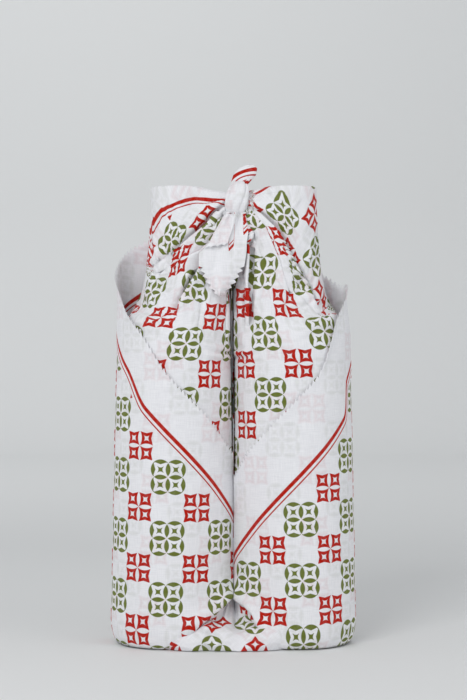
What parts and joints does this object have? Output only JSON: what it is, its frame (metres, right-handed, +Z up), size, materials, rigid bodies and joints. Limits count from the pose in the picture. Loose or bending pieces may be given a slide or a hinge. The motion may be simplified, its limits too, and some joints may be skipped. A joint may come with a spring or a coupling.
{
  "type": "cloth bottle wrap",
  "caption": "Gift wrap for wine: a printed cotton square rolled round paired bottles, folded upright and knotted on top, with loose tails and collar folds.",
  "frame": {"origin": "on the table, midway between the bottles, at the centre of the wrap's box", "axes": "+Z up, +X to the right seen from the front, -Y towards the viewer (the side with the hanging tail)"},
  "size_m": [0.161, 0.0762, 0.3152],
  "materials": {
    "cotton": "matte",
    "glass": "polished",
    "wine": "gloss",
    "cork": "matte",
    "foil": "satin"
  },
  "bodies": {
    "wrap": {"bottle_glass_left": "glass", "bottle_glass_right": "glass", "wine_left": "wine", "wine_right": "wine", "cork_left": "cork", "cork_right": "cork", "capsule_left": "foil", "capsule_right": "foil", "inner_wrap_left": "cotton", "inner_wrap_right": "cotton", "outer_wrap_left": "cotton", "outer_wrap_right": "cotton", "neck_gather_left": "cotton", "neck_gather_right": "cotton", "base_cloth": "cotton", "front_gusset": "cotton", "back_gusset": "cotton", "tucked_corner": "cotton", "knot_core": "cotton", "knot_band": "cotton"},
    "hanging_tail": {"front_tail": "cotton", "front_tail_fold": "cotton"},
    "standing_tail": {"upper_tail": "cotton"},
    "left_collar": {"collar_left": "cotton"},
    "right_collar": {"collar_right": "cotton"}
  },
  "joints": [
    {"name": "hanging_tail_lift", "type": "hinge", "parent": "wrap", "child": "hanging_tail", "pos_m": [0, -0.018, 0.2802], "axis": [-1, 0, 0], "range_deg": [0, 100]},
    {"name": "standing_tail_bend", "type": "hinge", "parent": "wrap", "child": "standing_tail", "pos_m": [0, -0.01, 0.3002], "axis": [1, 0, 0], "range_deg": [-55, 55]},
    {"name": "left_collar_turn", "type": "hinge", "parent": "wrap", "child": "left_collar", "pos_m": [-0.07651, 0, 0.20454], "axis": [0, -1, 0], "range_deg": [0, 70]},
    {"name": "right_collar_turn", "type": "hinge", "parent": "wrap", "child": "right_collar", "pos_m": [0.07651, 0, 0.20454], "axis": [0, 1, 0], "range_deg": [0, 70]}
  ]
}
